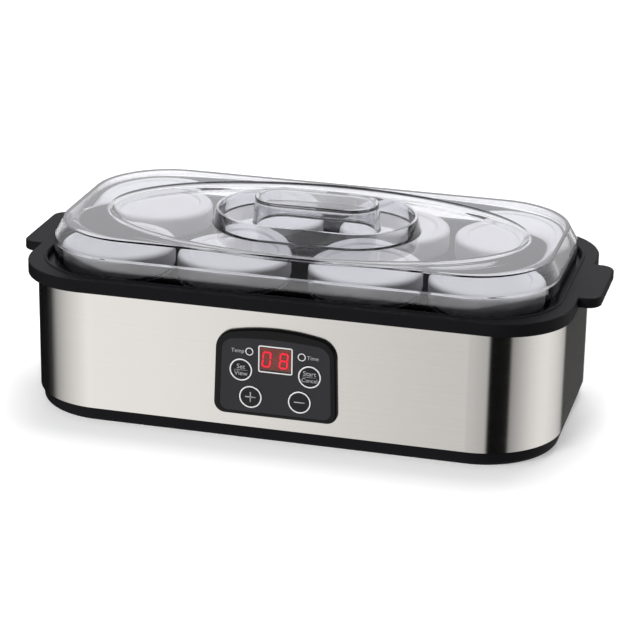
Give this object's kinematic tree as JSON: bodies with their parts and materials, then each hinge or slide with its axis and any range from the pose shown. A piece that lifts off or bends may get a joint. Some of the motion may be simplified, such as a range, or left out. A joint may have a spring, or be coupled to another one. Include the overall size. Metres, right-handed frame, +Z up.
{
  "type": "yogurt maker",
  "caption": "Electric yogurt maker: oblong steel-banded housing with a heated tub, glass jars with white caps, a front control panel and a clear lid with a raised grip.",
  "frame": {"origin": "on the table at the centre of the footprint, under the feet", "axes": "+Z up, the control panel faces -Y, +X runs to the right-hand handle seen from the front"},
  "size_m": [0.376, 0.1904, 0.133],
  "materials": {
    "black_abs": "satin moulded",
    "foot_rubber": "matt moulded",
    "screw_steel": "zinc plated",
    "steel_band": "horizontally brushed",
    "tub_pp": "moulded",
    "aluminium_plate": "rolled",
    "element_sheath": "silicone sleeve",
    "brass_ferrule": "crimped",
    "lead_jacket": "silicone insulation",
    "component_white": "moulded",
    "component_black": "moulded",
    "component_blue": "moulded",
    "component_yellow": "moulded",
    "terminal_green": "moulded",
    "board_laminate": "solder mask",
    "ribbon_grey": "extruded",
    "bezel_gloss": "high gloss",
    "panel_grey": "printed film",
    "display_tint": "tinted clear",
    "display_face": "red digits",
    "indicator_clear": "clear",
    "button_grey": "satin",
    "jar_glass": "clear soda glass",
    "cap_white": "satin moulded",
    "clear_lid": "polished clear moulding"
  },
  "bodies": {
    "housing": {"base_tray": "black_abs", "rubber_feet": "foot_rubber", "base_screws": "screw_steel", "steel_band": "steel_band", "rim_frame": "black_abs", "inner_tub": "tub_pp", "heater_plate": "aluminium_plate", "plate_push_nuts": "screw_steel", "heating_element": "element_sheath", "element_clips": "screw_steel", "crimp_ferrules": "brass_ferrule", "heater_leads": "lead_jacket", "thermal_fuse": "component_white", "temperature_sensor": "component_black", "sensor_clips": "screw_steel", "sensor_lead": "lead_jacket", "power_board": "board_laminate", "power_board_screws": "screw_steel", "relay": "component_blue", "transformer": "component_black", "filter_capacitor": "component_yellow", "terminal_block": "terminal_green", "ribbon_headers": "component_black", "ribbon_cable": "ribbon_grey", "cord_gland": "foot_rubber", "control_bezel": "bezel_gloss", "panel_overlay": "panel_grey", "panel_retainer": "black_abs", "display_window": "display_tint", "display_module": "display_face", "indicator_temp": "indicator_clear", "indicator_time": "indicator_clear", "control_board": "board_laminate", "control_board_screws": "screw_steel", "tact_switches": "component_black"},
    "lid": {"lid": "clear_lid"},
    "jar_1": {"jar_1": "jar_glass"},
    "jar_cap_1": {"jar_cap_1": "cap_white"},
    "jar_2": {"jar_2": "jar_glass"},
    "jar_cap_2": {"jar_cap_2": "cap_white"},
    "jar_3": {"jar_3": "jar_glass"},
    "jar_cap_3": {"jar_cap_3": "cap_white"},
    "jar_4": {"jar_4": "jar_glass"},
    "jar_cap_4": {"jar_cap_4": "cap_white"},
    "jar_5": {"jar_5": "jar_glass"},
    "jar_cap_5": {"jar_cap_5": "cap_white"},
    "jar_6": {"jar_6": "jar_glass"},
    "jar_cap_6": {"jar_cap_6": "cap_white"},
    "jar_7": {"jar_7": "jar_glass"},
    "jar_cap_7": {"jar_cap_7": "cap_white"},
    "jar_8": {"jar_8": "jar_glass"},
    "jar_cap_8": {"jar_cap_8": "cap_white"},
    "button_set": {"button_set": "button_grey"},
    "button_start": {"button_start": "button_grey"},
    "button_plus": {"button_plus": "button_grey"},
    "button_minus": {"button_minus": "button_grey"}
  },
  "joints": [
    {"name": "lid_lift", "type": "slide", "parent": "housing", "child": "lid", "axis": [0, 0, 1], "range_m": [0, 0.3]},
    {"name": "jar_1_lift", "type": "slide", "parent": "housing", "child": "jar_1", "axis": [0, 0, 1], "range_m": [0, 0.12]},
    {"name": "jar_cap_1_lift", "type": "slide", "parent": "jar_1", "child": "jar_cap_1", "axis": [0, 0, 1], "range_m": [0, 0.06]},
    {"name": "jar_2_lift", "type": "slide", "parent": "housing", "child": "jar_2", "axis": [0, 0, 1], "range_m": [0, 0.12]},
    {"name": "jar_cap_2_lift", "type": "slide", "parent": "jar_2", "child": "jar_cap_2", "axis": [0, 0, 1], "range_m": [0, 0.06]},
    {"name": "jar_3_lift", "type": "slide", "parent": "housing", "child": "jar_3", "axis": [0, 0, 1], "range_m": [0, 0.12]},
    {"name": "jar_cap_3_lift", "type": "slide", "parent": "jar_3", "child": "jar_cap_3", "axis": [0, 0, 1], "range_m": [0, 0.06]},
    {"name": "jar_4_lift", "type": "slide", "parent": "housing", "child": "jar_4", "axis": [0, 0, 1], "range_m": [0, 0.12]},
    {"name": "jar_cap_4_lift", "type": "slide", "parent": "jar_4", "child": "jar_cap_4", "axis": [0, 0, 1], "range_m": [0, 0.06]},
    {"name": "jar_5_lift", "type": "slide", "parent": "housing", "child": "jar_5", "axis": [0, 0, 1], "range_m": [0, 0.12]},
    {"name": "jar_cap_5_lift", "type": "slide", "parent": "jar_5", "child": "jar_cap_5", "axis": [0, 0, 1], "range_m": [0, 0.06]},
    {"name": "jar_6_lift", "type": "slide", "parent": "housing", "child": "jar_6", "axis": [0, 0, 1], "range_m": [0, 0.12]},
    {"name": "jar_cap_6_lift", "type": "slide", "parent": "jar_6", "child": "jar_cap_6", "axis": [0, 0, 1], "range_m": [0, 0.06]},
    {"name": "jar_7_lift", "type": "slide", "parent": "housing", "child": "jar_7", "axis": [0, 0, 1], "range_m": [0, 0.12]},
    {"name": "jar_cap_7_lift", "type": "slide", "parent": "jar_7", "child": "jar_cap_7", "axis": [0, 0, 1], "range_m": [0, 0.06]},
    {"name": "jar_8_lift", "type": "slide", "parent": "housing", "child": "jar_8", "axis": [0, 0, 1], "range_m": [0, 0.12]},
    {"name": "jar_cap_8_lift", "type": "slide", "parent": "jar_8", "child": "jar_cap_8", "axis": [0, 0, 1], "range_m": [0, 0.06]},
    {"name": "set_press", "type": "slide", "parent": "housing", "child": "button_set", "axis": [0, 1, 0], "range_m": [0, 0.0006], "stiffness_N_per_m": 1500},
    {"name": "start_press", "type": "slide", "parent": "housing", "child": "button_start", "axis": [0, 1, 0], "range_m": [0, 0.0006], "stiffness_N_per_m": 1500},
    {"name": "plus_press", "type": "slide", "parent": "housing", "child": "button_plus", "axis": [0, 1, 0], "range_m": [0, 0.0006], "stiffness_N_per_m": 1500},
    {"name": "minus_press", "type": "slide", "parent": "housing", "child": "button_minus", "axis": [0, 1, 0], "range_m": [0, 0.0006], "stiffness_N_per_m": 1500}
  ],
  "couplings": [
    {"joint": "jar_1_lift", "follows": "lid_lift", "ratio": 0.4},
    {"joint": "jar_cap_1_lift", "follows": "lid_lift", "ratio": 0.2},
    {"joint": "jar_2_lift", "follows": "lid_lift", "ratio": 0.4},
    {"joint": "jar_cap_2_lift", "follows": "lid_lift", "ratio": 0.2},
    {"joint": "jar_3_lift", "follows": "lid_lift", "ratio": 0.4},
    {"joint": "jar_cap_3_lift", "follows": "lid_lift", "ratio": 0.2},
    {"joint": "jar_4_lift", "follows": "lid_lift", "ratio": 0.4},
    {"joint": "jar_cap_4_lift", "follows": "lid_lift", "ratio": 0.2},
    {"joint": "jar_5_lift", "follows": "lid_lift", "ratio": 0.4},
    {"joint": "jar_cap_5_lift", "follows": "lid_lift", "ratio": 0.2},
    {"joint": "jar_6_lift", "follows": "lid_lift", "ratio": 0.4},
    {"joint": "jar_cap_6_lift", "follows": "lid_lift", "ratio": 0.2},
    {"joint": "jar_7_lift", "follows": "lid_lift", "ratio": 0.4},
    {"joint": "jar_cap_7_lift", "follows": "lid_lift", "ratio": 0.2},
    {"joint": "jar_8_lift", "follows": "lid_lift", "ratio": 0.4},
    {"joint": "jar_cap_8_lift", "follows": "lid_lift", "ratio": 0.2}
  ]
}
